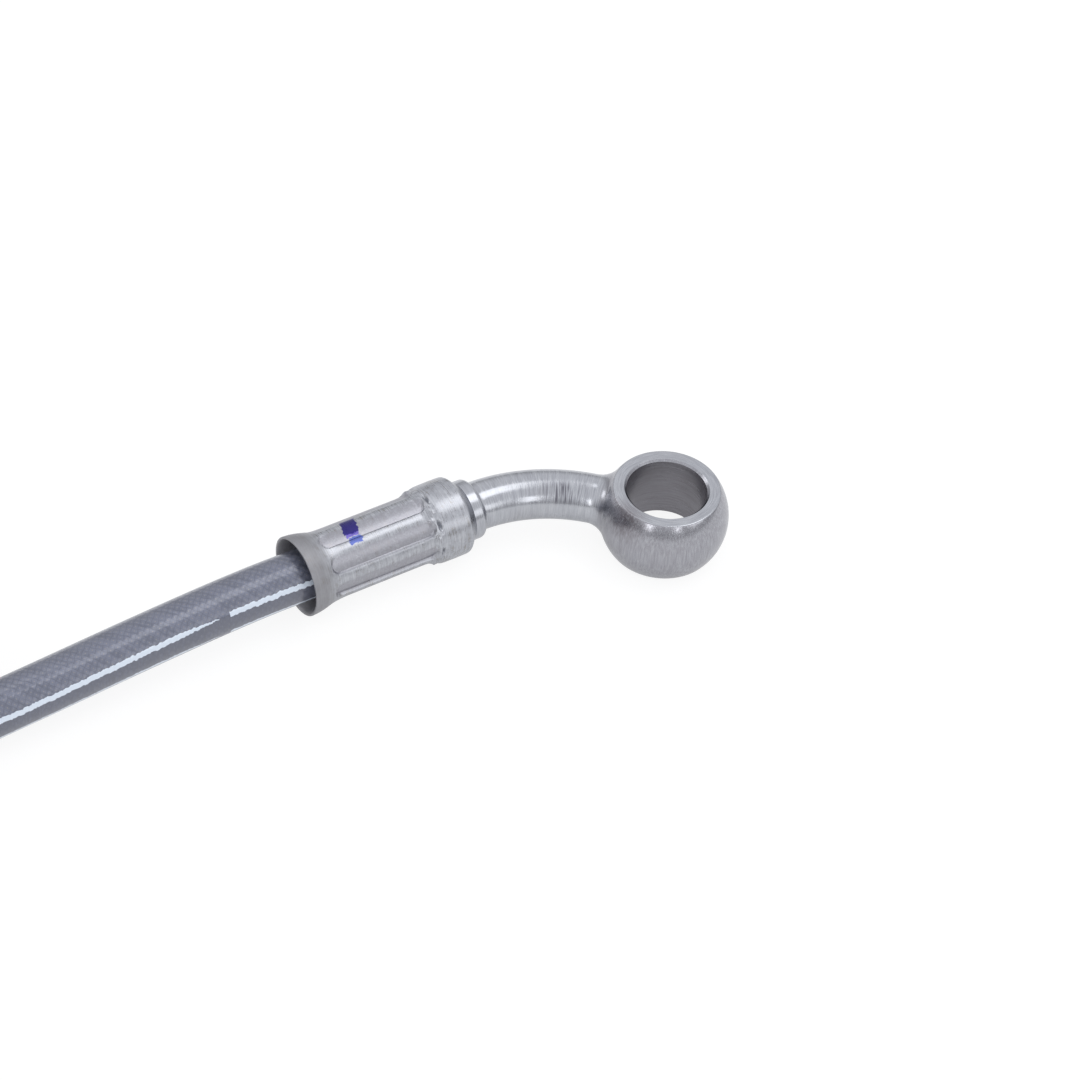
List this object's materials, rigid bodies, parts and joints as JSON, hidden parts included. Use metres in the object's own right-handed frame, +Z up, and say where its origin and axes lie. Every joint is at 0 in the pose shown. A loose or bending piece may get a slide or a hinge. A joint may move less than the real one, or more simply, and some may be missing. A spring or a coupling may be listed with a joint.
{
  "type": "brake hose",
  "caption": "Braided brake hose with a clear smoked jacket and a bent banjo fitting crimped on each end, its spare length in a tied coil.",
  "frame": {"origin": "on the bench under the middle of the box of the near fitting and its ferrule", "axes": "+X along the near ferrule from its mouth to the eye, +Z up along the eye's bore, and the neck bends towards -Y"},
  "size_m": [0.1819, 0.1002, 0.0199],
  "materials": {
    "fitting_steel": "turned and milled steel, satin",
    "ferrule_steel": "turned steel, dull brownish grey, pressed by eight dies",
    "smoked_jacket": "glossy see-through smoked plastic",
    "braid_steel": "woven fine steel wire",
    "liner_ptfe": "smooth waxy white",
    "tie_nylon": "moulded nylon, fine matt"
  },
  "bodies": {
    "root": {"banjo_fitting": "fitting_steel", "crimp_ferrule": "ferrule_steel", "hose_cover": "smoked_jacket", "hose_braid": "braid_steel", "hose_liner": "liner_ptfe", "hose_coil": "smoked_jacket", "tail_cover": "smoked_jacket", "tail_braid": "braid_steel", "tail_liner": "liner_ptfe", "far_banjo_fitting": "fitting_steel", "far_crimp_ferrule": "ferrule_steel", "coil_tie": "tie_nylon"}
  },
  "joints": []
}
